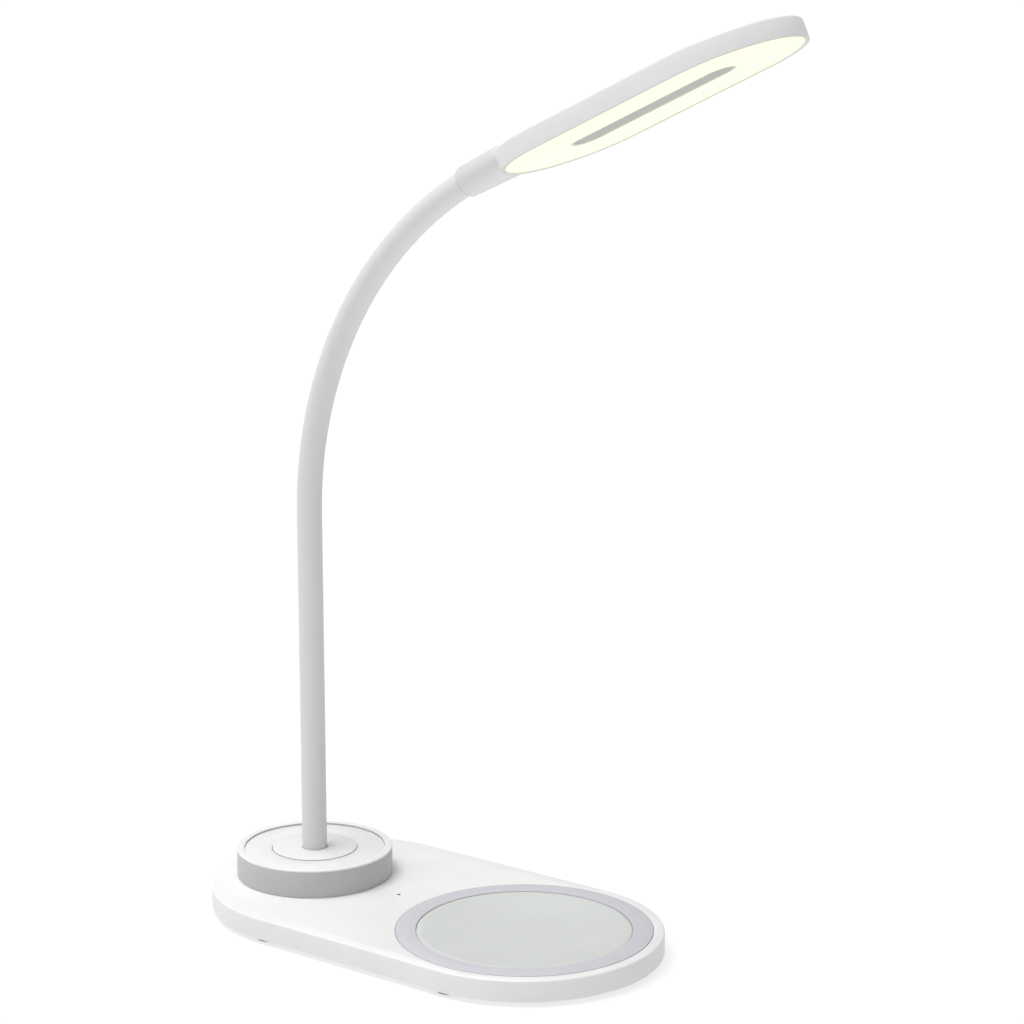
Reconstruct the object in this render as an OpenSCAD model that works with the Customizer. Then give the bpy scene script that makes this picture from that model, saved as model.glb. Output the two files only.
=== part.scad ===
// Desk lamp on a low charging base: a flexible neck rises from a round touch
// control and carries a slim ring-shaped light head. Millimetres, +Z up.
// The origin is the middle of the bounding box on the table.

/* [Base] */
// Width of the base plate, which is also the diameter of its round ends
base_w = 110; // [100:1:130]
// Distance between the centres of the two round ends
base_span = 91.4; // [86:0.2:120]
// Height of the base plate without its feet
base_h = 9.1; // [8.6:0.1:14]
// Wall of the base shell
base_wall = 2; // [1.6:0.1:2.4]
// Top of the base shell
base_top = 2; // [1.8:0.1:2.4]
// Thickness of the bottom cover
cover_t = 1.5; // [1.2:0.1:1.8]
// Rounding of the base's top edge
base_top_round = 0.8; // [0.4:0.1:1.4]
// Rounding of the base's bottom edge
base_bottom_round = 1.2; // [0.4:0.1:1.5]
// Distance from the neck back to the centre of the round end beside it
neck_offset = 17.2; // [14:0.2:19]
// Thickness of the steel ballast plate
ballast_t = 2.4; // [1.5:0.1:2.8]

/* [Feet] */
// Height of the feet under the base
foot_h = 1.6; // [1:0.1:4]
// Diameter of a foot
foot_d = 12; // [8:0.5:13]
// Depth of a foot's seat in the cover
foot_seat = 0.7; // [0.4:0.1:0.9]
// Distance of a foot's centre from the base's edge
foot_inset = 9; // [8.6:0.2:12]

/* [Charging pad] */
// Diameter of the recess in the base
pad_d = 101.4; // [92:0.2:103]
// Depth of the recess
pad_depth = 0.9; // [0.6:0.1:1]
// Width of the soft ring in the recess
pad_ring_w = 8; // [5:0.1:12]
// Height of the ring's face above the base
pad_proud = 0.2; // [0.1:0.05:0.5]
// Outer diameter of the charging coil
coil_d = 44; // [36:1:50]
// Inner diameter of the charging coil
coil_bore = 20; // [14:1:26]
// Thickness of the charging coil
coil_t = 1.5; // [1:0.1:1.7]

/* [Touch control] */
// Diameter of the round housing under the neck
puck_d = 63.9; // [56:0.1:66]
// Height of the housing above the base
puck_h = 11.7; // [10.5:0.1:20]
// Wall of the housing at its rim
puck_rim = 3.1; // [2.4:0.1:4]
// Rounding of the rim's outer edge
puck_round = 0.5; // [0.3:0.1:0.6]
// Height of the bezel that makes the rim
bezel_t = 0.8; // [0.8:0.1:2]
// Step down from the rim to the dish
dish_step = 0.8; // [0.3:0.1:1]
// Diameter of the inner touch disc
touch_d = 34.8; // [32:0.1:40]
// Height of the touch disc's face above the dish
touch_proud = 0.3; // [0:0.1:0.6]

/* [Neck] */
// Diameter of the neck's sleeve
neck_d = 10.2; // [9:0.2:12]
// Diameter of the steel core inside the sleeve
core_d = 7.8; // [6.6:0.1:8]
// Diameter of the wire bore through the core
wire_d = 3.4; // [2:0.2:4]
// Height above the table where the neck starts to curve
neck_rise = 162.5; // [155:0.5:200]
// Length of one link of the neck, joint to joint
link_pitch = 33.7; // [28:0.1:36]
// Bend of each curved link at rest, in degrees
link_angle = 12.2; // [8:0.1:14]
// Gap between a link's ball and the cup of the next
link_gap = 0.4; // [0.35:0.05:0.5]
// Diameter of the collar where it meets the neck
collar_d = 12.6; // [11.8:0.1:14]
// Length of the collar from the neck to the head
collar_len = 24.7; // [22:0.1:34]
// Width of the collar at the head
collar_w = 26; // [20:0.5:30]
// Height of the neck's end above the middle of the head's thickness
collar_rise = 3; // [2.4:0.1:3.6]
// Bend of the collar between the neck's end and the head, in degrees
collar_bend = 4; // [0:0.5:8]

/* [Head] */
// Length of the light head
head_len = 130.1; // [118:0.1:160]
// Width of the light head
head_w = 63.4; // [58:0.2:72]
// Thickness of the light head
head_t = 7.6; // [7:0.1:9]
// Wall of the head cover
head_wall = 1.5; // [1.2:0.1:1.8]
// Top of the head cover
head_top = 1.6; // [1.4:0.1:2]
// Rounding of the head's upper edge
head_round = 1; // [0.6:0.1:1.8]
// Length of the slot through the head
slot_len = 72.6; // [60:0.1:80]
// Width of the slot through the head
slot_w = 11.9; // [9:0.1:18]
// Wall round the slot
slot_wall = 1; // [0.8:0.1:1.4]
// Step up from the head's rim to the diffuser
diffuser_step = 0.3; // [0.2:0.1:0.6]

/* [Hidden] */
last_link = 8;      // the link that carries the collar and the head
$fn = 96;

white = [0.95, 0.95, 0.95];
pale_grey = [0.86, 0.86, 0.87];
mid_grey = [0.66, 0.66, 0.67];
steel = [0.62, 0.63, 0.65];
board_green = [0.16, 0.42, 0.27];

fit = 0.2;          // clearance of a piece laid in a recess
slip = 0.1;         // clearance round a piece that slides in
screw_r = 1.1;      // radius of a base screw's shank
screw_head_r = 2.3;
screw_head_t = 0.9;
cross_len = 2.8;    // cross in a screw's head
cross_w = 0.6;
cross_deep = 0.5;

// Base levels
base_r = base_w / 2;
base_z = foot_h;
cover_z = base_z + cover_t;
base_top_z = base_z + base_h;
roof_z = base_top_z - base_top;
inner_r = base_r - base_wall;
pad_x = neck_offset + base_span;
pad_ring_r = pad_d / 2 - fit;
pad_disc_r = pad_ring_r - pad_ring_w - fit;
pad_floor_z = base_top_z - pad_depth;
pad_disc_drop = 0.3;    // step down from the ring to the inner disc
boss_r = 3;
foot_round = 0.4;
boss_at = inner_r - boss_r - 1.2;
screw_spots = concat(
    [for (a = [135, 225]) [neck_offset + boss_at * cos(a), boss_at * sin(a)]],
    [for (a = [-45, 45]) [pad_x + boss_at * cos(a), boss_at * sin(a)]],
    [for (s = [-1, 1]) [neck_offset + base_span / 2, s * boss_at]]);
foot_spots = [for (x = [neck_offset, pad_x], s = [-1, 1]) [x, s * (base_r - foot_inset)]];

// Boards inside the base
board_t = 1.2;
standoff_h = 0.6;
board_z = cover_z + standoff_h;
board_w = 22;
board_len = 50;
board_x = (puck_d / 2 + pad_x - pad_d / 2) / 2;
board_gap = 1.5;
standoff_d = 5;
chips = [[-4, 8, 7, 7, 1], [-8, -20, 8, 8, 2.4]];   // corner, length, width and height
can_spots = [[5, -16], [5, 18]];
can_d = 6;
can_h = 2.2;
jack_board_w = 16;
jack_w = 8.9;
jack_h = 3.2;
jack_len = 7.5;
jack_shell = 0.3;
jack_recess = 0.8;
tongue_w = 6.6;
tongue_t = 0.7;
tongue_in = 1;
jack_x = neck_offset - base_r + jack_recess;
jack_z = board_z + board_t + jack_h / 2;
nut_af = 16;
nut_t = 3;
nut_room = nut_af / 2 + 3;  // radius of the ballast plate's hole round the nut
ballast_web = 2.6;          // plate left between that hole and the inlet board's notch
notch_end = -nut_room - ballast_web;
jack_board_x0 = neck_offset - sqrt(pow(inner_r, 2) - pow(jack_board_w / 2, 2)) + fit;
jack_board_x1 = notch_end - board_gap;
lens_r = 0.8;
ferrite_t = 0.8;

// Touch control levels
puck_r = puck_d / 2;
puck_top_z = base_top_z + puck_h;
dish_r = puck_r - puck_rim;
bezel_z = puck_top_z - bezel_t;
bezel_key = 0.6;            // depth of the key under the bezel
key_r = (dish_r + puck_r) / 2 - bezel_key / 2;
dish_z = puck_top_z - dish_step;
dish_t = 1.5;
ledge_w = 2;
puck_floor = 2;
touch_r = touch_d / 2;
lip_w = 2.4;
lip_t = 1.2;
groove = 0.2;
socket_flange_r = 13;
socket_flange_t = 2;
socket_r = 8;
stud_r = 5;
seat_z = base_top_z + puck_floor + socket_flange_t;

// Neck: joint 1 stands above the foot, and the links follow it
neck_r = neck_d / 2;
core_r = core_d / 2;
wire_r = wire_d / 2;
skin_r = core_r + 0.05;     // inside of the sleeve
ball_r = neck_r - 0.15;     // ball at a link's upper end
cup_r = ball_r + link_gap;  // cup at its lower end
straight_links = 3;
socket_len = 3;             // depth of the neck's end in the collar
insert_len = 12;            // crimped end fitting beyond it
insert_end = socket_len + insert_len;
function bend_of(i) = i <= straight_links ? 0 : link_angle;
function angle_at(i) = i <= 1 ? 0 : angle_at(i - 1) + bend_of(i - 1);
function arc_r(b) = link_pitch * 180 / (PI * b);
function link_step(a, b) =
    b == 0 ? link_pitch * [sin(a), cos(a)]
           : arc_r(b) * [cos(a) - cos(a + b), sin(a + b) - sin(a)];
foot_top = neck_rise - straight_links * link_pitch;
function joint_at(i) =
    i <= 1 ? [0, foot_top] : joint_at(i - 1) + link_step(angle_at(i - 1), bend_of(i - 1));

// Head: its own frame has X along the head from its rounded end and Z square to it
neck_end = joint_at(last_link + 1);
head_turn = angle_at(last_link + 1) + collar_bend - 90;
head_dir = [cos(head_turn), -sin(head_turn)];
head_up = [sin(head_turn), cos(head_turn)];
head_at = neck_end + collar_len * head_dir - collar_rise * head_up;
head_r = head_w / 2;
head_span = head_len - head_w;
half_t = head_t / 2;
slot_r = slot_w / 2;
slot_span = slot_len - slot_w;
slot_x = (head_len - slot_len) / 2 + slot_r;
diffuser_t = 2;
reflector_t = 0.3;
diffuser_z = -half_t + diffuser_step;
guide_z = diffuser_z + diffuser_t;
roof_h = half_t - head_top;
guide_t = roof_h - reflector_t - guide_z;
led_t = 1;
wire_port_r = 0.85;
wire_port_h = roof_h - wire_port_r - fit;

// Collar: it is thickest where it meets the head, and fades out on top of it before the slot
collar_screw_x = 8;
collar_screw_y = 6;
collar_screw_r = 0.8;
collar_screw_len = 3.2;
flare_r = 5.4;
saddle_x = 10;
saddle_in = 6;
saddle_r = 3.2;
toe_gap = 6;
toe_w = 8;
toe_r = 1.6;
toe_lift = 0.2;

// The origin is midway between the base's near end and the head's far corner
head_tip = head_at[0] + head_len * head_dir[0] + half_t * abs(head_up[0]);
origin_x = (neck_offset - base_r + head_tip) / 2;

// ---- shared shapes ----

// Moves a shape from the neck's foot on the table to the model's origin
module placed() {
    translate([-origin_x, 0, 0]) children();
}

// Half outline of a plate of half width r from z0 to z1, with its edges rounded
module plate_half(r, z0, z1, f0 = 0, f1 = 0) {
    translate([0, z0]) square([r - f0, z1 - f1 - z0]);
    translate([0, z0 + f0]) square([r - f1, z1 - z0 - f0]);
    translate([0, z0 + f0]) square([r, z1 - f1 - z0 - f0]);
    if (f0 > 0) translate([r - f0, z0 + f0]) circle(f0);
    if (f1 > 0) translate([r - f1, z1 - f1]) circle(f1);
}

// Sweeps a half outline round a track: two half turns, span apart, and two sides
module track(span) {
    rotate([0, 0, 90]) rotate_extrude(angle = 180) children();
    translate([span, 0, 0]) rotate([0, 0, -90]) rotate_extrude(angle = 180) children();
    for (side = [0, 1]) mirror([0, side, 0])
        rotate([90, 0, 90]) linear_extrude(span) children();
}

// A plain plate with round ends
module track_plate(span, r, z0, z1) {
    track(span) translate([0, z0]) square([r, z1 - z0]);
}

// A flat ring
module ring(r0, r1, z0, z1) {
    translate([0, 0, z0]) difference() {
        cylinder(r = r1, h = z1 - z0);
        translate([0, 0, -1]) cylinder(r = r0, h = z1 - z0 + 2);
    }
}

module at_spots(spots, z) {
    for (p = spots) translate([p[0], p[1], z]) children();
}

// ---- base ----

module base_shell() {
    color(white) placed() difference() {
        union() {
            difference() {
                translate([neck_offset, 0, 0]) track(base_span)
                    plate_half(base_r, base_z, base_top_z, base_bottom_round, base_top_round);
                translate([neck_offset, 0, 0])
                    track_plate(base_span, inner_r, base_z - 1, roof_z);
            }
            at_spots(screw_spots, cover_z) cylinder(r = boss_r, h = roof_z - cover_z);
        }
        at_spots(screw_spots, cover_z - 1) cylinder(r = screw_r, h = roof_z - cover_z + 0.5);
        translate([pad_x, 0, pad_floor_z]) cylinder(r = pad_d / 2, h = base_top);
        translate([0, 0, roof_z - 1]) cylinder(r = stud_r + fit, h = base_top + 2);
        translate([board_x, 0, roof_z - 1]) cylinder(r = lens_r + slip / 2, h = base_top + 2);
        translate([jack_x - base_wall, -jack_w / 2 - fit, jack_z - jack_h / 2 - fit])
            cube([2 * base_wall, jack_w + 2 * fit, jack_h + 2 * fit]);
    }
}

module base_cover() {
    color(pale_grey) placed() difference() {
        union() {
            translate([neck_offset, 0, 0])
                track_plate(base_span, inner_r - fit, base_z, cover_z);
            standoffs(board_x - board_w / 2, board_x + board_w / 2, board_len);
            standoffs(jack_board_x0, jack_board_x1, jack_board_w);
        }
        at_spots(foot_spots, base_z - 1) cylinder(d = foot_d + fit, h = foot_seat + 1);
        at_spots(screw_spots, base_z - 1) cylinder(r = screw_r + slip, h = cover_t + 2);
        at_spots(screw_spots, base_z - 1) cylinder(r = screw_head_r + slip, h = screw_head_t + 1);
    }
}

// Four standoffs under the corners of a board from x0 to x1
module standoffs(x0, x1, w) {
    for (x = [x0 + standoff_d / 2, x1 - standoff_d / 2], s = [-1, 1])
        translate([x, s * (w - standoff_d) / 2, cover_z]) cylinder(d = standoff_d, h = standoff_h);
}

module rubber_feet() {
    color([0.25, 0.25, 0.26]) placed() at_spots(foot_spots, 0) {
        rotate_extrude() plate_half(foot_d / 2, 0, foot_h + foot_seat, foot_round, 0);
    }
}

module base_screws() {
    color(steel) placed() at_spots(screw_spots, base_z) difference() {
        union() {
            cylinder(r = screw_head_r, h = screw_head_t);
            cylinder(r = screw_r - slip / 2, h = roof_z - base_z - 1);
        }
        for (a = [0, 90]) rotate([0, 0, a]) translate([-cross_len / 2, -cross_w / 2, -1])
            cube([cross_len, cross_w, cross_deep + 1]);
    }
}

module ballast_plate() {
    color(steel) placed() difference() {
        translate([neck_offset, 0, 0])
            track_plate(base_span, boss_at - boss_r - 1, cover_z, cover_z + ballast_t);
        translate([board_x - board_w / 2 - board_gap, -board_len / 2 - board_gap, cover_z - 1])
            cube([board_w + 2 * board_gap, board_len + 2 * board_gap, ballast_t + 2]);
        translate([-base_r, -jack_board_w / 2 - board_gap, cover_z - 1])
            cube([base_r + notch_end, jack_board_w + 2 * board_gap, ballast_t + 2]);
        translate([0, 0, cover_z - 1]) cylinder(r = nut_room, h = ballast_t + 2);
    }
}

module charging_board() {
    top = board_z + board_t;
    color(board_green) placed() translate([board_x, 0, 0]) {
        translate([-board_w / 2, -board_len / 2, board_z]) cube([board_w, board_len, board_t]);
        for (c = chips) translate([c[0], c[1], top]) cube([c[2], c[3], c[4]]);
        at_spots(can_spots, top) cylinder(d = can_d, h = can_h);
        translate([-lens_r, -lens_r, top]) cube([2 * lens_r, 2 * lens_r, lens_r]);
    }
}

module charging_coil() {
    color([0.72, 0.42, 0.24]) placed() translate([pad_x, 0, 0])
        ring(coil_bore / 2, coil_d / 2, roof_z - coil_t, roof_z);
}

module ferrite_disc() {
    color([0.2, 0.2, 0.21]) placed() translate([pad_x, 0, roof_z - coil_t - ferrite_t])
        cylinder(d = coil_d + 4, h = ferrite_t);
}

module pad_ring() {
    color([0.79, 0.79, 0.83]) placed() translate([pad_x, 0, 0])
        ring(pad_ring_r - pad_ring_w, pad_ring_r, pad_floor_z, base_top_z + pad_proud);
}

module pad_disc() {
    color([0.81, 0.83, 0.81]) placed() translate([pad_x, 0, pad_floor_z])
        cylinder(r = pad_disc_r, h = pad_depth + pad_proud - pad_disc_drop);
}

module status_lens() {
    color([0.7, 0.85, 0.95]) placed() translate([board_x, 0, roof_z - 1]) {
        cylinder(r = lens_r, h = base_top + 1);
        cylinder(r = 2 * lens_r, h = 1);
    }
}

module jack_board() {
    color(board_green) placed()
        translate([jack_board_x0, -jack_board_w / 2, board_z])
            cube([jack_board_x1 - jack_board_x0, jack_board_w, board_t]);
}

// Flat rounded receptacle with a tongue in its mouth
module power_jack() {
    color(steel) placed() translate([jack_x, 0, jack_z]) {
        difference() {
            rotate([0, 90, 0]) linear_extrude(jack_len) flat_oval(jack_h, jack_w);
            translate([-1, 0, 0]) rotate([0, 90, 0])
                linear_extrude(jack_len + 1 - tongue_in)
                    flat_oval(jack_h - 2 * jack_shell, jack_w - 2 * jack_shell);
        }
        translate([tongue_in, -tongue_w / 2, -tongue_t / 2])
            cube([jack_len - tongue_in, tongue_w, tongue_t]);
    }
}

// An upright oval: h across, w along Y
module flat_oval(h, w) {
    square([h, w - h], center = true);
    for (s = [-1, 1]) translate([0, s * (w - h) / 2]) circle(h / 2);
}

// ---- touch control ----

module puck_housing() {
    color(mid_grey) placed() difference() {
        ring(stud_r + fit, puck_r, base_top_z, bezel_z);
        translate([0, 0, base_top_z + puck_floor])
            cylinder(r = dish_r - ledge_w, h = puck_h);
        translate([0, 0, dish_z - dish_t]) cylinder(r = dish_r, h = puck_h);
        ring(key_r - slip, key_r + bezel_key + slip, bezel_z - bezel_key - slip, puck_top_z);
    }
}

// The rim: it stands on the housing, with a key in the housing's groove
module puck_bezel() {
    color(white) placed() {
        rotate_extrude() intersection() {
            plate_half(puck_r, base_top_z, puck_top_z, 0, puck_round);
            translate([dish_r, bezel_z]) square([puck_rim, bezel_t]);
        }
        ring(key_r, key_r + bezel_key, bezel_z - bezel_key, bezel_z);
    }
}

module dish_plate() {
    color(pale_grey) placed() {
        ring(touch_r + groove, dish_r - slip, dish_z - dish_t, dish_z);
        ring(touch_r - lip_w, touch_r + lip_w, dish_z - dish_t - lip_t, dish_z - dish_t);
    }
}

module touch_disc() {
    color(white) placed() ring(neck_r + fit, touch_r, dish_z - dish_t, dish_z + touch_proud);
}

module touch_board() {
    color(board_green) placed()
        ring(neck_r + 1, touch_r - lip_w - fit, dish_z - dish_t - lip_t, dish_z - dish_t);
}

module neck_socket() {
    top = dish_z - dish_t - lip_t - fit;
    color(steel) placed() difference() {
        union() {
            translate([0, 0, seat_z - socket_flange_t])
                cylinder(r = socket_flange_r, h = socket_flange_t);
            translate([0, 0, seat_z - 1]) cylinder(r = socket_r, h = top - seat_z + 1);
            translate([0, 0, roof_z - nut_t - 0.4])
                cylinder(r = stud_r, h = seat_z - roof_z + nut_t);
        }
        translate([0, 0, seat_z]) cylinder(r = neck_r + slip, h = puck_h);
        translate([0, 0, base_z]) cylinder(r = wire_r, h = puck_h + base_h);
    }
}

module neck_nut() {
    color(steel) placed() translate([0, 0, roof_z - nut_t]) difference() {
        cylinder(d = nut_af / cos(30), h = nut_t, $fn = 6);
        translate([0, 0, -1]) cylinder(r = stud_r + slip / 2, h = nut_t + 2);
    }
}

// ---- neck ----

// A straight link in half section: cup at the bottom, ball at the top
module straight_half(r0, r1, length, cup) {
    difference() {
        translate([r0, 0]) square([r1 - r0, length]);
        if (cup) circle(cup_r);
    }
    intersection() {
        translate([0, length]) circle(ball_r);
        translate([r0, length]) square([r1 - r0, ball_r]);
    }
}

module at_joint(i) {
    placed() translate([joint_at(i)[0], 0, joint_at(i)[1]]) rotate([0, angle_at(i), 0]) children();
}

// Link i of the sleeve or of the core, from its cup to its upper end
module link(i, r0, r1) {
    bend = bend_of(i);
    at_joint(i)
        if (bend == 0) rotate_extrude() straight_half(r0, r1, link_pitch, true);
        else curved_link(r0, r1, bend, i == last_link ? socket_len : 0);
}

// A curved link: its tube runs on past the upper joint, and is trimmed to a ball there,
// or to a plain end where the link enters the collar
module curved_link(r0, r1, bend, plain_end) {
    r = arc_r(bend);
    run_on = (plain_end > 0 ? plain_end : neck_r + 1) * 180 / (PI * r);
    difference() {
        translate([r, 0, 0]) rotate([90, 0, 180]) rotate_extrude(angle = bend + run_on)
            translate([r, 0]) difference() {
                circle(r1);
                circle(r0);
            }
        sphere(cup_r);
        if (plain_end == 0) translate([r * (1 - cos(bend)), 0, r * sin(bend)])
            rotate([0, bend, 0]) rotate_extrude() difference() {
                square([2 * neck_r, 2 * neck_r]);
                circle(ball_r);
            }
    }
}

module neck_sleeve(i) {
    color(white) link(i, skin_r, neck_r);
}

module neck_core(i) {
    color(steel) link(i, wire_r, core_r);
}

module foot_link(r0, r1) {
    placed() translate([0, 0, seat_z])
        rotate_extrude() straight_half(r0, r1, foot_top - seat_z, false);
}

module neck_sleeve_foot() {
    color(white) foot_link(skin_r, neck_r);
}

module neck_core_foot() {
    color(steel) foot_link(wire_r, core_r);
}

// ---- head ----

module in_head() {
    placed() translate([head_at[0], 0, head_at[1]]) rotate([0, head_turn, 0]) children();
}

module head_body() {
    translate([head_r, 0, 0]) track(head_span) plate_half(head_r, -half_t, half_t, 0, head_round);
}

// A plate inside the head with the slot cut through it
module slotted_plate(r, z0, z1, slot) {
    difference() {
        translate([head_r, 0, 0]) track_plate(head_span, r, z0, z1);
        translate([slot_x, 0, 0]) track_plate(slot_span, slot, z0 - 1, z1 + 1);
    }
}

// From the neck's end into the collar: Z runs along the neck there
module at_neck_end() {
    translate([-collar_len, 0, collar_rise]) rotate([0, 90 - collar_bend, 0]) children();
}

// Two balls of radius r at the ends of a bar of width w, square to the collar
module collar_bar(x, w, r, z) {
    for (s = [-1, 1]) translate([x, s * (w / 2 - r), z]) sphere(r, $fn = 32);
}

module neck_collar() {
    color(white) in_head() difference() {
        hull() {
            at_neck_end() cylinder(d = collar_d, h = 1, $fn = 32);
            collar_bar(0, collar_w, flare_r, collar_rise);
            collar_bar(saddle_x, collar_w - saddle_in, saddle_r, collar_rise);
            collar_bar(slot_x - slot_r - toe_gap, toe_w, toe_r, half_t + toe_lift - toe_r);
        }
        head_body();
        at_neck_end() translate([0, 0, -1]) cylinder(r = neck_r + slip, h = socket_len + fit + 1);
        at_neck_end() cylinder(r = core_r, h = insert_end);
        translate([insert_end - collar_len - 1, 0, wire_port_h]) rotate([0, 90, 0])
            cylinder(r = wire_r, h = collar_len - insert_end + 2);
        for (s = [-1, 1]) translate([collar_screw_x, s * collar_screw_y, 0])
            cylinder(r = collar_screw_r, h = roof_h + collar_screw_len);
    }
}

module collar_insert() {
    color(steel) in_head() at_neck_end()
        ring(wire_r, core_r - slip / 2, socket_len + fit, insert_end);
}

module collar_screws() {
    color(steel) in_head() for (s = [-1, 1])
        translate([collar_screw_x, s * collar_screw_y, roof_h]) {
            cylinder(r = 2 * collar_screw_r, h = head_top / 2);
            cylinder(r = collar_screw_r - slip / 2, h = collar_screw_len - fit);
        }
}

module head_cover() {
    color(pale_grey) in_head() difference() {
        union() {
            difference() {
                head_body();
                translate([head_r, 0, 0])
                    track_plate(head_span, head_r - head_wall, -head_t, roof_h);
            }
            translate([slot_x, 0, 0])
                track_plate(slot_span, slot_r + slot_wall, diffuser_z, roof_h + 0.5);
        }
        translate([slot_x, 0, 0]) track_plate(slot_span, slot_r, -head_t, head_t);
        for (s = [-1, 1]) translate([collar_screw_x, s * collar_screw_y, 0]) {
            cylinder(r = 2 * collar_screw_r + slip, h = roof_h + head_top / 2);
            cylinder(r = collar_screw_r + slip / 2, h = head_t);
        }
        translate([-1, 0, wire_port_h]) rotate([0, 90, 0])
            cylinder(r = wire_port_r, h = head_wall + 2);
    }
}

module head_diffuser() {
    color([1, 1, 0.92]) in_head()
        slotted_plate(head_r - head_wall - fit, diffuser_z, guide_z, slot_r + slot_wall + fit);
}

module light_guide() {
    color([0.92, 0.96, 0.98]) in_head()
        slotted_plate(head_r - head_wall - fit - led_t - slip, guide_z, guide_z + guide_t,
                      slot_r + slot_wall + fit);
}

module reflector_sheet() {
    color(white) in_head()
        slotted_plate(head_r - head_wall - fit, roof_h - reflector_t, roof_h,
                      slot_r + slot_wall + fit);
}

module led_strip() {
    outer = head_r - head_wall - fit;
    color([0.95, 0.9, 0.6]) in_head() translate([head_r, 0, 0]) track(head_span)
        translate([outer - led_t, guide_z]) square([led_t, guide_t]);
}

base_shell();
base_cover();
rubber_feet();
base_screws();
ballast_plate();
charging_board();
charging_coil();
ferrite_disc();
pad_ring();
pad_disc();
status_lens();
jack_board();
power_jack();
puck_housing();
puck_bezel();
dish_plate();
touch_disc();
touch_board();
neck_socket();
neck_nut();
neck_sleeve_foot();
neck_core_foot();
for (i = [1:last_link - 1]) {
    neck_sleeve(i);
    neck_core(i);
}
neck_sleeve(last_link);  // neck_sleeve_end
neck_core(last_link);  // neck_core_end
collar_insert();
neck_collar();
collar_screws();
head_cover();
head_diffuser();
light_guide();
reflector_sheet();
led_strip();
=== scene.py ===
import math

import bmesh
import bpy
from mathutils import Matrix, Vector


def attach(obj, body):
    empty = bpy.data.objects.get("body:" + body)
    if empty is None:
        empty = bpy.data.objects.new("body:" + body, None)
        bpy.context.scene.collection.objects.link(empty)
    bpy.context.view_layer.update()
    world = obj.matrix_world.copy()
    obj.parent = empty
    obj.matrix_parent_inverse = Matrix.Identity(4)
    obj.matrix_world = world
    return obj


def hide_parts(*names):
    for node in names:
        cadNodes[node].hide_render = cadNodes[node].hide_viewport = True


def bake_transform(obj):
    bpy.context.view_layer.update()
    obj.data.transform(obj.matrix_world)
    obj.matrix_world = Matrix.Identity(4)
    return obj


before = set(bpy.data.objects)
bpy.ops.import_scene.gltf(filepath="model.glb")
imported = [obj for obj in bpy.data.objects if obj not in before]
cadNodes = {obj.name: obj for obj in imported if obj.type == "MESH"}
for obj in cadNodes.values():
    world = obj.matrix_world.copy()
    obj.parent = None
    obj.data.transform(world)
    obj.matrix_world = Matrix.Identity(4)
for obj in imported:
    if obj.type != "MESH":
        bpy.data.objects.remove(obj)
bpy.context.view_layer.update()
mm = 0.001
neckX = -93.45416  # the neck's foot, in millimetres from the origin
leftX = neckX + 17.2  # middle of the base's left end
padX = leftX + 91.4  # middle of the base's right end and of the charging pad
lightX = neckX + 44.925  # the status light


def clearSelection():
    if bpy.context.mode != "OBJECT":
        bpy.ops.object.mode_set(mode="OBJECT")
    bpy.ops.object.select_all(action="DESELECT")


def pickOnly(piece):
    clearSelection()
    piece.select_set(True)
    bpy.context.view_layer.objects.active = piece


def named(name):
    piece = bpy.context.object
    piece.name = name
    piece.data.name = name
    return piece


def settle(piece):  # the place goes into the mesh, and the object stays at the origin
    pickOnly(piece)
    bpy.ops.object.transform_apply(location=True, rotation=True, scale=True)
    return piece


def startEdit(piece):
    pickOnly(piece)
    bpy.ops.object.mode_set(mode="EDIT")
    bpy.ops.mesh.select_mode(type="VERT")
    bpy.ops.mesh.select_all(action="DESELECT")


def endEdit():
    bpy.ops.object.mode_set(mode="OBJECT")


def pickPoints(piece, isWanted):  # points, and the edges and faces between them
    bpy.ops.mesh.select_mode(type="VERT")
    bpy.ops.mesh.select_all(action="DESELECT")
    edited = bmesh.from_edit_mesh(piece.data)
    for point in edited.verts:
        point.select = isWanted(point.co)
    edited.select_flush(True)
    bmesh.update_edit_mesh(piece.data)


def pickEdges(piece, isWanted):  # edges whose two ends both pass
    bpy.ops.mesh.select_mode(type="EDGE")
    bpy.ops.mesh.select_all(action="DESELECT")
    edited = bmesh.from_edit_mesh(piece.data)
    for edge in edited.edges:
        edge.select = isWanted(edge.verts[0].co) and isWanted(edge.verts[1].co)
    bmesh.update_edit_mesh(piece.data)


def pickFaces(piece, isWanted):  # faces by their middle and normal
    bpy.ops.mesh.select_mode(type="FACE")
    bpy.ops.mesh.select_all(action="DESELECT")
    edited = bmesh.from_edit_mesh(piece.data)
    for face in edited.faces:
        face.select = isWanted(face.calc_center_median(), face.normal)
    bmesh.update_edit_mesh(piece.data)


def pickTop(piece):
    pickFaces(piece, lambda middle, normal: normal.z > 0.99)


def insetBy(width):  # the picked face, drawn in by that many millimetres
    bpy.ops.mesh.inset(thickness=width * mm)


def raiseBy(height):  # what is picked, moved up
    bpy.ops.transform.translate(value=(0, 0, height * mm))


def pushBy(step):  # what is picked, extruded by that step in millimetres
    bpy.ops.mesh.extrude_region_move(TRANSFORM_OT_translate={"value": Vector(step) * mm})


def level(height, slack=0.02):  # at that height
    return lambda co: abs(co.z - height * mm) < slack * mm


def farFrom(x, y, radius, slack=0.03):  # on an upright cylinder of that radius
    return lambda co: abs(math.hypot(co.x - x * mm, co.y - y * mm) - radius * mm) < slack * mm


def onTrack(x, span, radius, slack=0.05):  # on the wall of a track of that radius
    def test(co):
        along = min(max(co.x, x * mm), (x + span) * mm)
        return abs(math.hypot(co.x - along, co.y) - radius * mm) < slack * mm
    return test


def both(first, second):
    return lambda co: first(co) and second(co)


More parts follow.
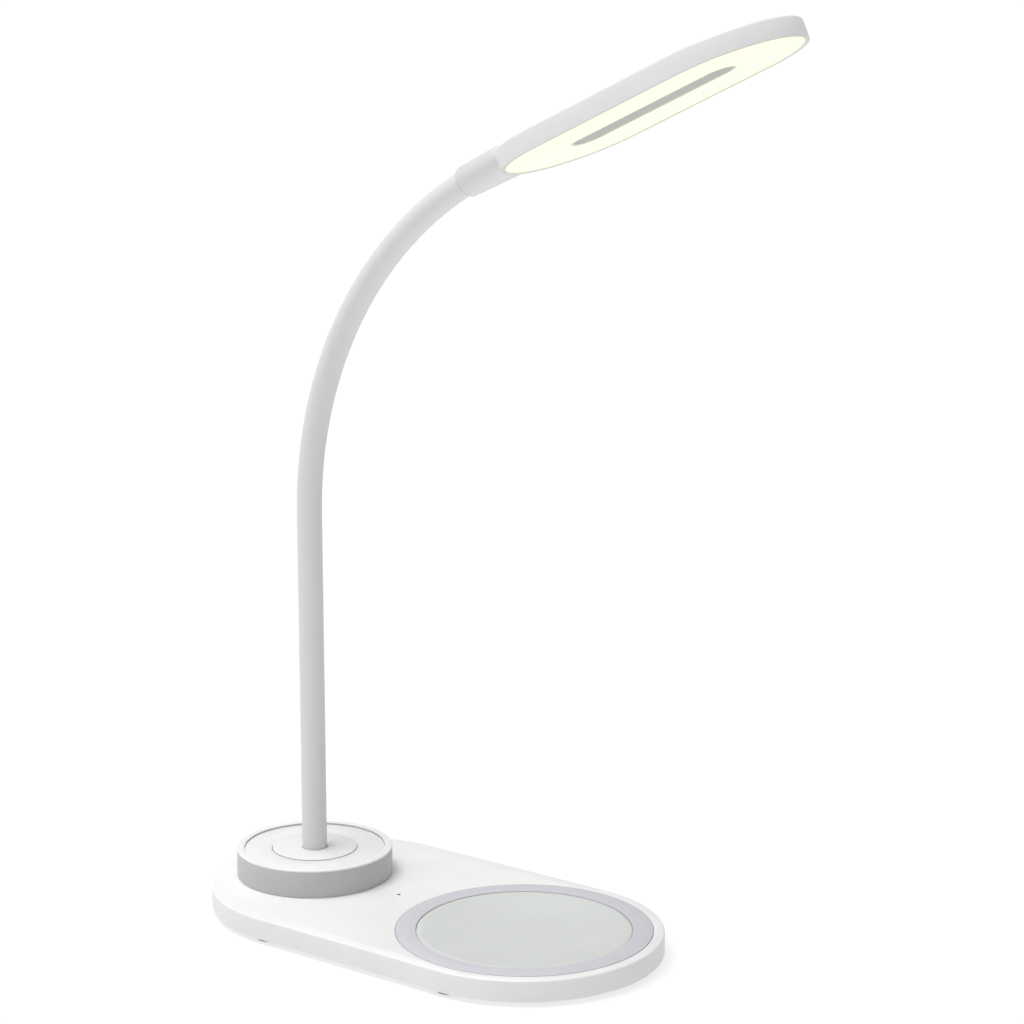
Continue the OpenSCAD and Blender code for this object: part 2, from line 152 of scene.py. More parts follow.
def softenEdges(piece, isWanted, width, steps=4):
    startEdit(piece)
    pickEdges(piece, isWanted)
    bpy.ops.mesh.bevel(offset=width * mm, segments=steps, profile=0.5, affect="EDGES", clamp_overlap=True)
    endEdit()


def smooth(piece, angle=35):
    pickOnly(piece)
    bpy.ops.object.shade_smooth_by_angle(angle=math.radians(angle))


def useModifier(piece, kind, **settings):
    pickOnly(piece)
    modifier = piece.modifiers.new(kind.title(), kind)
    for key, value in settings.items():
        setattr(modifier, key, value)
    bpy.ops.object.modifier_apply(modifier=modifier.name)


def carve(piece, tool):
    useModifier(piece, "BOOLEAN", operation="DIFFERENCE", object=tool, solver="EXACT")
    bpy.data.objects.remove(tool)


def tidyMesh(piece):
    startEdit(piece)
    bpy.ops.mesh.select_all(action="SELECT")
    bpy.ops.mesh.remove_doubles(threshold=0.002 * mm)
    bpy.ops.mesh.normals_make_consistent(inside=False)
    endEdit()


def addDrum(name, x, y, radius, low, high, sides=96):
    clearSelection()
    bpy.ops.mesh.primitive_cylinder_add(
        vertices=sides, radius=radius * mm, depth=(high - low) * mm,
        location=(x * mm, y * mm, (low + high) / 2 * mm), rotation=(0, 0, math.pi / sides))
    return settle(named(name))


def addTrack(name, x, span, radius, low, high, sides=144):  # a drum drawn out into a plate with round ends
    piece = addDrum(name, x, 0, radius, low, high, sides)
    startEdit(piece)
    pickPoints(piece, lambda co: co.x > x * mm)
    bpy.ops.transform.translate(value=(span * mm, 0, 0))
    endEdit()
    return piece


def addRing(name, x, y, inner, outer, low, high, sides=144):
    piece = addDrum(name, x, y, outer, low, high, sides)
    startEdit(piece)
    pickFaces(piece, lambda middle, normal: abs(normal.z) > 0.9)
    bpy.ops.mesh.inset(thickness=(outer - inner) * mm, use_individual=True)
    bpy.ops.mesh.bridge_edge_loops()
    endEdit()
    return piece


cameraLook = {  # solved from the outlines in the photo; places in metres
    "place": (0.669415, -0.860506, 0.417757),
    "right": (0.79346959, 0.60860962, -0.00058654),
    "up": (-0.13151493, 0.17240226, 0.9762076),
    "back": (0.59423045, -0.77451391, 0.2168372),
    "lens": 102.75, "sensor": 36, "clipStart": 0.05,
}
lensData = bpy.data.cameras.new("photoCamera")
lensData.lens = cameraLook["lens"]
lensData.sensor_width = cameraLook["sensor"]
lensData.clip_start = cameraLook["clipStart"]
photoCamera = bpy.data.objects.new("photoCamera", lensData)
bpy.context.scene.collection.objects.link(photoCamera)
axes = Matrix((cameraLook["right"], cameraLook["up"], cameraLook["back"])).transposed().to_4x4()
photoCamera.matrix_world = Matrix.Translation(cameraLook["place"]) @ axes
bpy.context.scene.camera = photoCamera
print("camera placed")


# the lamp's finishes; the slot's grey is painted shade, and the puck's grey is also put on two step walls as
# painted shade
tones = {
    "shellWhite": (0.80, 0.80, 0.80), "headWhite": (0.80, 0.80, 0.81), "sleeveWhite": (0.70, 0.70, 0.70),
    "collarWhite": (0.68, 0.68, 0.68), "paintedShadeGrey": (0.59, 0.59, 0.57), "puckGreyAndShade": (0.50, 0.50, 0.50),
    "dishGrey": (0.80, 0.80, 0.80), "touchWhite": (0.79, 0.79, 0.79), "padRingGrey": (0.55, 0.545, 0.585),
    "padDiscGrey": (0.60, 0.62, 0.60), "footRubber": (0.05, 0.05, 0.052), "coverGrey": (0.60, 0.60, 0.61),
    "lensSmoke": (0.12, 0.12, 0.125), "ferriteBlack": (0.045, 0.045, 0.048),
    "reflectorWhite": (0.93, 0.93, 0.92),
    "steel": (0.56, 0.57, 0.58), "copper": (0.78, 0.36, 0.17), "board": (0.03, 0.20, 0.08),
    "diffuser": (0.62, 0.62, 0.50), "diffuserGlow": (1.0, 0.99, 0.72), "acrylic": (0.95, 0.98, 1.0),
    "ledBody": (0.9, 0.9, 0.88), "ledYellow": (0.85, 0.66, 0.12),
    "ledGlow": (1, 0.9, 0.6), "ledDim": (0.1, 0.09, 0.05),
}


def startFinish(name, roughness, **sockets):
    material = bpy.data.materials.new(name)
    material.use_nodes = True
    nodes = material.node_tree.nodes
    nodes.clear()
    output = nodes.new("ShaderNodeOutputMaterial")
    shader = nodes.new("ShaderNodeBsdfPrincipled")
    link(material, shader.outputs["BSDF"], output.inputs["Surface"])
    shader.inputs["Roughness"].default_value = roughness
    for socket, value in sockets.items():
        shader.inputs[socket.replace("_", " ")].default_value = value
    return material, shader


def link(material, start, end):
    material.node_tree.links.new(start, end)


def placeOf(material, useUv=False, shift=(0, 0, 0), stretch=(1, 1, 1)):
    nodes = material.node_tree.nodes
    source = nodes.new("ShaderNodeTexCoord")
    mapping = nodes.new("ShaderNodeMapping")
    mapping.inputs["Location"].default_value = shift
    mapping.inputs["Scale"].default_value = stretch
    link(material, source.outputs["UV" if useUv else "Object"], mapping.inputs["Vector"])
    return mapping.outputs["Vector"]


def addNoise(material, place, scale, detail=3):
    noise = material.node_tree.nodes.new("ShaderNodeTexNoise")
    noise.inputs["Scale"].default_value = scale
    noise.inputs["Detail"].default_value = detail
    link(material, place, noise.inputs["Vector"])
    return noise.outputs["Fac"]


def addDots(material, place, scale):
    dots = material.node_tree.nodes.new("ShaderNodeTexVoronoi")
    dots.inputs["Scale"].default_value = scale
    link(material, place, dots.inputs["Vector"])
    return dots.outputs["Distance"]


def addRamp(material, value, stops, target):  # a value turned into colours, led to a socket
    ramp = material.node_tree.nodes.new("ShaderNodeValToRGB")
    for element, (spot, colour) in zip(ramp.color_ramp.elements, stops):
        element.position = spot
        element.color = (*colour, 1)
    link(material, value, ramp.inputs["Fac"])
    link(material, ramp.outputs["Color"], target)


def addRange(material, value, low, high, target, fromLow=0.3, fromHigh=0.7):  # the same for plain numbers
    rangeNode = material.node_tree.nodes.new("ShaderNodeMapRange")
    for socket, number in zip(("From Min", "From Max", "To Min", "To Max"), (fromLow, fromHigh, low, high)):
        rangeNode.inputs[socket].default_value = number
    link(material, value, rangeNode.inputs["Value"])
    link(material, rangeNode.outputs["Result"], target)


def addBump(material, shader, height, strength, depth):
    bump = material.node_tree.nodes.new("ShaderNodeBump")
    bump.inputs["Strength"].default_value = strength
    bump.inputs["Distance"].default_value = depth
    link(material, height, bump.inputs["Height"])
    link(material, bump.outputs["Normal"], shader.inputs["Normal"])


def tinted(colour, share):
    return tuple(min(1, part * share) for part in colour)


mouldedLook = {"cloudScale": 38, "patchScale": 210, "dark": 0.975, "light": 1.02,
               "glossier": 0.05, "duller": 0.06, "grainStrength": 0.35}


def mouldedFinish(name, roughness, grain=2600, grainDepth=0.00002, useUv=False, **sockets):
    # moulded plastic or rubber: faint clouding, a fine spark-eroded grain and uneven gloss
    material, shader = startFinish(name, roughness, **sockets)
    place = placeOf(material, useUv)
    cloud = addNoise(material, place, mouldedLook["cloudScale"], 4)
    colours = tinted(tones[name], mouldedLook["dark"]), tinted(tones[name], mouldedLook["light"])
    addRamp(material, cloud, [(0.3, colours[0]), (0.7, colours[1])], shader.inputs["Base Color"])
    patch = addNoise(material, place, mouldedLook["patchScale"])
    addRange(material, patch, roughness - mouldedLook["glossier"], roughness + mouldedLook["duller"],
             shader.inputs["Roughness"])
    addBump(material, shader, addNoise(material, place, grain, 2), mouldedLook["grainStrength"], grainDepth)
    return material


metalLook = {"lineScale": 900, "markScale": 160, "dark": 0.9, "light": 1.06, "glossier": 0.08, "duller": 0.12,
             "lineStrength": 0.3, "lineDepth": 0.00002}


def metalFinish(name, roughness, stretch):
    # turned or rolled metal: fine lines along the work, and handling marks
    material, shader = startFinish(name, roughness, Metallic=1.0)
    lines = addNoise(material, placeOf(material, stretch=stretch), metalLook["lineScale"], 4)
    marks = addNoise(material, placeOf(material), metalLook["markScale"])
    colours = tinted(tones["steel"], metalLook["dark"]), tinted(tones["steel"], metalLook["light"])
    addRamp(material, marks, [(0.3, colours[0]), (0.7, colours[1])], shader.inputs["Base Color"])
    addRange(material, lines, roughness - metalLook["glossier"], roughness + metalLook["duller"],
             shader.inputs["Roughness"])
    addBump(material, shader, lines, metalLook["lineStrength"], metalLook["lineDepth"])
    return material


woundLook = {"pitch": 0.0009, "gapShade": 0.25, "turnStrength": 0.8, "turnDepth": 0.0002, "markScale": 300}


def woundFinish(name, x):  # turns of wire round an upright line
    material, shader = startFinish(name, 0.32, Metallic=1.0)
    place = placeOf(material, shift=(-x * mm, 0, 0))
    wave = material.node_tree.nodes.new("ShaderNodeTexWave")
    wave.wave_type = "RINGS"
    wave.rings_direction = "Z"
    wave.inputs["Scale"].default_value = math.pi / 10 / woundLook["pitch"]
    link(material, place, wave.inputs["Vector"])
    addRamp(material, wave.outputs["Fac"], [(0.0, tinted(tones["copper"], woundLook["gapShade"])),
                                            (0.45, tones["copper"])], shader.inputs["Base Color"])
    marks = addNoise(material, place, woundLook["markScale"])
    addRange(material, marks, 0.25, 0.4, shader.inputs["Roughness"])
    addBump(material, shader, wave.outputs["Fac"], woundLook["turnStrength"], woundLook["turnDepth"])
    return material


boardLook = {"traceScale": 260, "traceWidth": 0.08, "patchShade": 0.8, "traceShade": 1.9, "weaveScale": 900,
             "traceStrength": 0.3, "traceDepth": 0.00004}


def boardFinish(name):  # circuit board: traces under lacquer, and speckled glass weave
    material, shader = startFinish(name, 0.3, Coat_Weight=0.5, Coat_Roughness=0.15)
    place = placeOf(material)
    brick = material.node_tree.nodes.new("ShaderNodeTexBrick")
    brick.inputs["Scale"].default_value = boardLook["traceScale"]
    brick.inputs["Mortar Size"].default_value = boardLook["traceWidth"]
    brick.inputs["Color1"].default_value = (*tones["board"], 1)
    brick.inputs["Color2"].default_value = (*tinted(tones["board"], boardLook["patchShade"]), 1)
    brick.inputs["Mortar"].default_value = (*tinted(tones["board"], boardLook["traceShade"]), 1)
    link(material, place, brick.inputs["Vector"])
    link(material, brick.outputs["Color"], shader.inputs["Base Color"])
    weave = addNoise(material, place, boardLook["weaveScale"], 2)
    addRange(material, weave, 0.24, 0.4, shader.inputs["Roughness"])
    addBump(material, shader, brick.outputs["Fac"], boardLook["traceStrength"], boardLook["traceDepth"])
    return material


glowLook = {"strength": 0.42, "cloudScale": 30, "grainScale": 2400, "grainStrength": 0.25,
            "grainDepth": 0.00002}


def glowFinish(name):  # back-lit diffuser: a milky sheet that glows a little unevenly
    material, shader = startFinish(name, 0.5, Emission_Strength=glowLook["strength"])
    place = placeOf(material)
    cloud = addNoise(material, place, glowLook["cloudScale"])
    addRamp(material, cloud, [(0.3, tinted(tones["diffuser"], 0.985)), (0.7, tones["diffuser"])],
            shader.inputs["Base Color"])
    addRamp(material, cloud, [(0.25, tinted(tones["diffuserGlow"], 0.97)), (0.75, tones["diffuserGlow"])],
            shader.inputs["Emission Color"])
    grain = addNoise(material, place, glowLook["grainScale"], 2)
    addBump(material, shader, grain, glowLook["grainStrength"], glowLook["grainDepth"])
    return material


acrylicLook = {"rough": 0.08, "dotRough": 0.38, "dotScale": 700, "clearness": 0.85, "bending": 1.49}


def clearFinish(name):  # acrylic with printed dots that let the light out
    material, shader = startFinish(name, acrylicLook["rough"], Transmission_Weight=acrylicLook["clearness"],
                                   IOR=acrylicLook["bending"])
    dots = addDots(material, placeOf(material), acrylicLook["dotScale"])
    addRamp(material, dots, [(0.2, (1, 1, 1)), (0.3, tones["acrylic"])], shader.inputs["Base Color"])
    addRange(material, dots, acrylicLook["dotRough"], acrylicLook["rough"], shader.inputs["Roughness"],
             0.2, 0.3)
    return material


ledLook = {"glow": 0.6, "chipScale": 250}


def ledFinish(name):  # a strip of small lights, a bright chip every few millimetres
    material, shader = startFinish(name, 0.35, Emission_Strength=ledLook["glow"])
    chips = addDots(material, placeOf(material), ledLook["chipScale"])
    addRamp(material, chips, [(0.25, tones["ledYellow"]), (0.4, tones["ledBody"])],
            shader.inputs["Base Color"])
    addRamp(material, chips, [(0.2, tones["ledGlow"]), (0.35, tones["ledDim"])],
            shader.inputs["Emission Color"])
    return material


shellWhite = mouldedFinish("shellWhite", 0.42)
headWhite = mouldedFinish("headWhite", 0.40)
sleeveWhite = mouldedFinish("sleeveWhite", 0.62, 1800, 0.00003, useUv=True, Sheen_Weight=0.15)
# painted shade: a grey that stands for shade in the head's slot, under the head and at the collar's mouth
paintedShadeGrey = mouldedFinish("paintedShadeGrey", 0.5)
collarWhite = mouldedFinish("collarWhite", 0.48)
# the puck's own grey, also used as painted shade on the bezel's and the touch disc's walls
puckGreyAndShade = mouldedFinish("puckGreyAndShade", 0.44, 3200)
dishGrey = mouldedFinish("dishGrey", 0.36)
touchWhite = mouldedFinish("touchWhite", 0.36)
padRingGrey = mouldedFinish("padRingGrey", 0.66, 2200, 0.00004)
padDiscGrey = mouldedFinish("padDiscGrey", 0.58, 3000, 0.00003)
footRubber = mouldedFinish("footRubber", 0.72, 1500, 0.00005)
coverGrey = mouldedFinish("coverGrey", 0.55, 1300, 0.00006)
lensSmoke = mouldedFinish("lensSmoke", 0.16, Coat_Weight=0.4)
ferriteBlack = mouldedFinish("ferriteBlack", 0.75, 1900, 0.00006)
reflectorWhite = mouldedFinish("reflectorWhite", 0.5)
steelTurned = metalFinish("steelTurned", 0.34, (1, 1, 6))
steelPlate = metalFinish("steelPlate", 0.4, (8, 1, 1))
copperWound = woundFinish("copperWound", padX)
boardGreen = boardFinish("boardGreen")
diffuserCream = glowFinish("diffuserCream")
acrylicClear = clearFinish("acrylicClear")
ledChips = ledFinish("ledChips")
print("materials made")


def dress(piece, material):
    piece.data.materials.clear()
    piece.data.materials.append(material)


def paintFaces(piece, material, isWanted):  # a second finish on the faces picked by their middle and normal
    piece.data.materials.append(material)
    for face in piece.data.polygons:
        if isWanted(face.center, face.normal):
            face.material_index = len(piece.data.materials) - 1


def paintShadeOnWall(piece, material, radius, slack=0.08):  # painted shade: a darker finish on the upright faces at that distance from the neck
    isWall = farFrom(neckX, 0, radius, slack)
    paintFaces(piece, material, lambda middle, normal: isWall(middle) and abs(normal.z) < 0.5)


def hand(piece, body, material, nodeReplaced):
    # gives a finished piece its finish and body, and hides the CAD node it stands in for; with no material it
    # keeps what it is painted with
    if material:
        dress(piece, material)
    smooth(piece)
    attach(piece, body)
    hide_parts(nodeReplaced)


base = {
    "span": padX - leftX, "radius": 55, "bottom": 1.6, "top": 10.7, "wall": 2, "roof": 8.7,
    "topRound": 0.8, "bottomRound": 1.2, "roundSteps": 6,
    "padRadius": 50.7, "padFloor": 9.8, "recessEdge": 0.15,
    "inletX": neckX - 37.0, "inletZ": 6.5, "inletWidth": 9.3, "inletHeight": 3.6, "inletReach": 4,
    "neckHole": 5.2, "lightHole": 0.85, "cutLow": 7, "cutHigh": 12,
}
shell = addTrack("baseBody", leftX, base["span"], base["radius"], base["bottom"], base["top"])
softenEdges(shell, level(base["top"]), base["topRound"], base["roundSteps"])
softenEdges(shell, level(base["bottom"]), base["bottomRound"], base["roundSteps"])
carve(shell, addTrack("cavity", leftX, base["span"], base["radius"] - base["wall"], 0, base["roof"]))
carve(shell, addDrum("padRecess", padX, 0, base["padRadius"], base["padFloor"], base["cutHigh"], 144))
inletSpan = base["inletWidth"] - base["inletHeight"]
inletTool = addTrack("inletTool", -inletSpan / 2, inletSpan, base["inletHeight"] / 2,
                     -base["inletReach"], base["inletReach"], 48)
inletTool.rotation_euler = (math.pi / 2, 0, math.pi / 2)
inletTool.location = (base["inletX"] * mm, 0, base["inletZ"] * mm)
carve(shell, settle(inletTool))
carve(shell, addDrum("neckHole", neckX, 0, base["neckHole"], base["cutLow"], base["cutHigh"], 48))
carve(shell, addDrum("lensHole", lightX, 0, base["lightHole"], base["cutLow"], base["cutHigh"], 32))
tidyMesh(shell)
softenEdges(shell, both(level(base["top"]), farFrom(padX, 0, base["padRadius"])), base["recessEdge"], 2)
hand(shell, "base", shellWhite, "base_shell")
print("base body made")


pad = {
    "floor": 9.8, "ringInner": 42.5, "ringOuter": 50.5, "ringTop": 10.9, "ringEdge": 0.3,
    "discRadius": 42.3, "discTop": 10.6, "discEdge": 0.35,
    "lineInset": 2.2, "lineWidth": 0.25, "lineDepth": 0.12,
}
padRing = addRing("padRing", padX, 0, pad["ringInner"], pad["ringOuter"], pad["floor"], pad["ringTop"])
softenEdges(padRing, level(pad["ringTop"]), pad["ringEdge"], 3)
hand(padRing, "base", padRingGrey, "pad_ring")
padDisc = addDrum("padDisc", padX, 0, pad["discRadius"], pad["floor"], pad["discTop"], 144)
softenEdges(padDisc, level(pad["discTop"]), pad["discEdge"], 3)
startEdit(padDisc)
pickTop(padDisc)
insetBy(pad["lineInset"])
insetBy(pad["lineWidth"])
raiseBy(-pad["lineDepth"])
endEdit()
hand(padDisc, "base", padDiscGrey, "pad_disc")
print("charging pad made")


puck = {"radius": 31.95, "bottom": 10.7, "top": 21.6, "rimInner": 28.85, "ledge": 20.1, "ledgeInner": 26.85,
        "floor": 12.7, "hole": 5.2, "shadowGap": 0.25, "topEdge": 0.12, "cutLow": 9, "cutHigh": 14}
puckBody = addDrum("puckBody", neckX, 0, puck["radius"], puck["bottom"], puck["top"], 144)
softenEdges(puckBody, level(puck["bottom"]), puck["shadowGap"], 1)
softenEdges(puckBody, level(puck["top"]), puck["topEdge"], 2)
startEdit(puckBody)
pickTop(puckBody)
insetBy(puck["radius"] - puck["topEdge"] - puck["rimInner"])
pushBy((0, 0, puck["ledge"] - puck["top"]))
insetBy(puck["rimInner"] - puck["ledgeInner"])
pushBy((0, 0, puck["floor"] - puck["ledge"]))
insetBy(puck["ledgeInner"] - puck["hole"])
endEdit()
carve(puckBody, addDrum("studHole", neckX, 0, puck["hole"], puck["cutLow"], puck["cutHigh"], 48))
tidyMesh(puckBody)
hand(puckBody, "base", puckGreyAndShade, "puck_housing")

bezel = {"inner": puck["rimInner"], "outer": puck["radius"], "bottom": puck["top"], "top": 22.4,
         "innerRound": 0.2, "outerRound": 0.5}
puckBezel = addRing("puckBezel", neckX, 0, bezel["inner"], bezel["outer"], bezel["bottom"], bezel["top"])
for side in ("outer", "inner"):
    onEdge = farFrom(neckX, 0, bezel[side])
    softenEdges(puckBezel, both(level(bezel["top"]), onEdge), bezel[side + "Round"])
hand(puckBezel, "base", shellWhite, "puck_bezel")
# painted shade: the puck's grey on the bezel's inner wall, for the dark line along the step
paintShadeOnWall(puckBezel, puckGreyAndShade, bezel["inner"])

dish = {"inner": 17.6, "outer": 28.75, "bottom": puck["ledge"], "top": 21.6, "edge": 0.12,
        "lipInner": 15.0, "lipOuter": 19.8, "lipLow": 18.9}
dishPlate = addRing("dishPlate", neckX, 0, dish["inner"], dish["outer"], dish["bottom"], dish["top"])
softenEdges(dishPlate, level(dish["top"]), dish["edge"], 2)
lip = addRing("lip", neckX, 0, dish["lipInner"], dish["lipOuter"], dish["lipLow"], dish["bottom"], 128)
pickOnly(dishPlate)
lip.select_set(True)
bpy.ops.object.join()
hand(dishPlate, "base", dishGrey, "dish_plate")

touch = {"hole": 5.3, "radius": 17.4, "bottom": puck["ledge"], "top": 21.9, "edge": 0.15}
touchDisc = addRing("touchDisc", neckX, 0, touch["hole"], touch["radius"], touch["bottom"], touch["top"], 128)
softenEdges(touchDisc, level(touch["top"]), touch["edge"], 2)
hand(touchDisc, "base", touchWhite, "touch_disc")
# painted shade: the puck's grey on the disc's outer wall, for the dark line at its gap
paintShadeOnWall(touchDisc, puckGreyAndShade, touch["radius"])
print("touch control made")


feet = {"spots": ((leftX, -46), (leftX, 46), (padX, -46), (padX, 46)), "radius": 6, "height": 2.3,
        "round": 0.4, "grooveAt": 1.6, "grooveWidth": 0.5, "grooveDepth": 0.25}
rubberFeet = addDrum("rubberFeet", *feet["spots"][0], feet["radius"], 0, feet["height"], 48)
softenEdges(rubberFeet, level(0), feet["round"], 3)
startEdit(rubberFeet)
pickFaces(rubberFeet, lambda middle, normal: normal.z < -0.99)
insetBy(feet["grooveAt"])
insetBy(feet["grooveWidth"])
raiseBy(feet["grooveDepth"])
bpy.ops.mesh.select_all(action="SELECT")
lastX, lastY = feet["spots"][0]
for x, y in feet["spots"][1:]:  # the foot is copied from spot to spot
    bpy.ops.mesh.duplicate_move(TRANSFORM_OT_translate={"value": ((x - lastX) * mm, (y - lastY) * mm, 0)})
    lastX, lastY = x, y
endEdit()
hand(rubberFeet, "base", footRubber, "rubber_feet")

light = {"radius": 0.8, "bottom": 7.7, "shoulder": 10.55, "domeInset": 0.2, "domeRise": 0.1,
         "crownInset": 0.3, "crownRise": 0.05}
statusLight = addDrum("statusLight", lightX, 0, light["radius"], light["bottom"], light["shoulder"], 32)
startEdit(statusLight)
pickTop(statusLight)
for part in ("dome", "crown"):
    insetBy(light[part + "Inset"])
    raiseBy(light[part + "Rise"])
endEdit()
tidyMesh(statusLight)
hand(statusLight, "base", lensSmoke, "status_lens")
print("feet and status light made")


# the neck bends at eight joints, and each length of sleeve covers one of them, from halfway to halfway
neck = {
    "radius": 5.1, "wall": 0.65, "foot": 14.7, "rise": 162.5, "pitch": 33.7, "linkTurn": 12.2, "arcLinks": 5,
    "plainEnd": 3.0, "reach": 16.4, "sides": 48, "rowLength": 2.1,
}
links = range(1, 8)
sleeveNodes = ["neck_sleeve_foot"] + [f"neck_sleeve_{i}" for i in links]
halfPitch = neck["pitch"] / 2
arcRadius = neck["pitch"] / math.radians(neck["linkTurn"])
straight, bent = None, arcRadius
sleeveRuns = [  # the two runs of each sleeve, before and after its joint: length and bending radius
    ((neck["rise"] - 3 * neck["pitch"] - neck["foot"], straight), (halfPitch, straight)),
    ((halfPitch, straight), (halfPitch, straight)),
    ((halfPitch, straight), (halfPitch, straight)),
    ((halfPitch, straight), (halfPitch, bent)),
    ((halfPitch, bent), (halfPitch, bent)),
    ((halfPitch, bent), (halfPitch, bent)),
    ((halfPitch, bent), (halfPitch, bent)),
    ((halfPitch, bent), (neck["pitch"] + neck["plainEnd"], bent)),
]


def growRun(piece, spot, heading, length, radius):  # draws the open end of the tube on, straight or in an arc
    rows = max(2, round(length / neck["rowLength"]))
    pickPoints(piece, lambda co: (co - spot * mm).dot(heading) > -0.01 * mm)
    if radius is None:
        for row in range(rows):
            pushBy(heading * (length / rows))
        return spot + heading * length, heading
    turn = length / radius
    centre = spot + Vector((heading.z, 0, -heading.x)) * radius
    bpy.ops.mesh.spin(steps=rows, angle=-turn, center=centre * mm, axis=(0, 1, 0))
    turned = Matrix.Rotation(turn, 3, "Y")
    return centre + turned @ (spot - centre), turned @ heading


def unrollNeck(piece):  # UV: along the neck, and round it, in metres
    layer = piece.data.uv_layers.new(name="alongNeck")
    arcCentre = Vector((neckX + arcRadius, 0, neck["rise"]))
    for loop in piece.data.loops:
        co = piece.data.vertices[loop.vertex_index].co / mm
        if co.z < neck["rise"]:
            along, side = co.z - neck["foot"], co.x - neckX
        else:
            away = co - arcCentre
            along = neck["rise"] - neck["foot"] + math.atan2(away.z, -away.x) * arcRadius
            side = arcRadius - math.hypot(away.x, away.z)
        layer.data[loop.index].uv = (along * mm, math.atan2(co.y, side) * neck["radius"] * mm)


spot, heading = Vector((neckX, 0, neck["foot"])), Vector((0, 0, 1))
for number, (before, after) in enumerate(sleeveRuns):
    clearSelection()
    bpy.ops.mesh.primitive_circle_add(vertices=neck["sides"], radius=neck["radius"] * mm, location=spot * mm,
                                      rotation=(0, math.atan2(heading.x, heading.z), 0))
    sleeve = settle(named(f"neckSleeve{number + 1}"))
    startEdit(sleeve)
    jointSpot, jointHeading = growRun(sleeve, spot, heading, *before)
    spot, heading = growRun(sleeve, jointSpot, jointHeading, *after)
    bpy.ops.mesh.select_all(action="SELECT")
    bpy.ops.mesh.normals_make_consistent(inside=False)
    endEdit()
    useModifier(sleeve, "SOLIDIFY", thickness=neck["wall"] * mm, offset=-1)
    tidyMesh(sleeve)
    dress(sleeve, sleeveWhite)
    smooth(sleeve)
    unrollNeck(sleeve)
    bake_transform(sleeve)
    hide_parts(sleeveNodes[number])
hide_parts("neck_sleeve_end")
print("neck sleeve drawn and blended over its joints, its end at", [round(part, 3) for part in spot])


head = {
    "radius": 31.7, "span": 66.7, "half": 3.8, "round": 1.0, "roundSteps": 6, "edge": 0.25,
    "wall": 1.5, "roof": 2.2, "cutReach": 6, "sides": 160, "slotSides": 72,
    "slotX": 34.7, "slotSpan": 60.7, "slotRadius": 5.95, "slotWall": 1.0,
    "slotTopEdge": 0.4, "slotLowEdge": 0.15,
    "diffuserLow": -3.5, "diffuserHigh": -1.5, "diffuserFit": 0.2, "diffuserEdge": 0.2,
    "neckAlong": -24.7, "neckHeight": 3.0, "neckTilt": 4.0,  # where the neck comes in, seen from the head
}
neckTurn = neck["arcLinks"] * neck["linkTurn"]
headPitch = math.radians(90 - neckTurn - head["neckTilt"])
neckEnd = Vector((neckX, 0, neck["rise"])) + arcRadius * Vector(
    (1 - math.cos(math.radians(neckTurn)), 0, math.sin(math.radians(neckTurn))))
headTurn = Matrix.Rotation(-headPitch, 3, "Y")
headCorner = neckEnd - headTurn @ Vector((head["neckAlong"], 0, head["neckHeight"]))


def seatOnHead(piece):  # from lying flat to its place at the neck's end
    piece.rotation_euler = (0, -headPitch, 0)
    piece.location = headCorner * mm
    return settle(piece)


def addHeadBody(name, grow=0.0):
    body = addTrack(name, head["radius"], head["span"], head["radius"] + grow,
                    -head["half"] - grow, head["half"] + grow, head["sides"])
    softenEdges(body, level(head["half"] + grow), head["round"], head["roundSteps"])
    return body


def addSlot(name, grow=0.0, low=-head["cutReach"]):
    return addTrack(name, head["slotX"], head["slotSpan"], head["slotRadius"] + grow,
                    low, head["cutReach"], head["slotSides"])


headCover = addHeadBody("headCover")
softenEdges(headCover, level(-head["half"]), head["edge"], 3)
cavity = addTrack("headCavity", head["radius"], head["span"], head["radius"] - head["wall"],
                  -head["cutReach"], head["roof"], head["sides"])
carve(cavity, addSlot("slotPost", head["slotWall"], head["diffuserLow"]))
carve(headCover, cavity)
carve(headCover, addSlot("slotTool"))
tidyMesh(headCover)
onSlot = onTrack(head["slotX"], head["slotSpan"], head["slotRadius"])
softenEdges(headCover, both(level(head["half"]), onSlot), head["slotTopEdge"], 3)
softenEdges(headCover, both(level(head["diffuserLow"]), onSlot), head["slotLowEdge"], 2)
dress(headCover, headWhite)
# painted shade: a darker grey on the slot's walls and on the cover's downward faces, where the head lies in
# shade
paintFaces(headCover, paintedShadeGrey,
           lambda middle, normal: normal.z < -0.5 or onSlot(middle) and abs(normal.z) < 0.3)
seatOnHead(headCover)
hand(headCover, "head", None, "head_cover")

diffuserRadius = head["radius"] - head["wall"] - head["diffuserFit"]
diffuser = addTrack("headDiffuser", head["radius"], head["span"], diffuserRadius,
                    head["diffuserLow"], head["diffuserHigh"], head["sides"])
softenEdges(diffuser, level(head["diffuserLow"]), head["diffuserEdge"], 2)
carve(diffuser, addSlot("diffuserSlot", head["slotWall"] + head["diffuserFit"]))
tidyMesh(diffuser)
seatOnHead(diffuser)
hand(diffuser, "head", diffuserCream, "head_diffuser")
print("head made")


collar = {
    "mouth": 6.3, "start": 1.0, "neckHole": 5.2, "neckDepth": 3.2, "coreHole": 3.9, "coreDepth": 11.8,
    "edge": 0.25, "sides": 64, "seam": 0.22, "seamShadeBand": 0.5, "ringStep": 3.9,
    # where its outline turns: place along the head, half width, half height, height of its middle
    "turns": ((-21, 7.27, 6.13, 3.0), (-2, 12.4, 5.43, 3.0), (0.6, 12.8, 5.28, 3.0), (3, 12.25, 4.8, 3.0),
              (9, 10.4, 3.46, 3.0), (12, 9.3, 2.92, 2.92), (15, 7.88, 2.55, 2.78), (21, 4.95, 1.79, 2.49),
              (23, 3.95, 1.53, 2.4)),
}
mouthSpot = Vector((head["neckAlong"], 0, head["neckHeight"])) * mm
tilt = math.radians(head["neckTilt"])
neckWay = Vector((math.cos(tilt), 0, math.sin(tilt)))


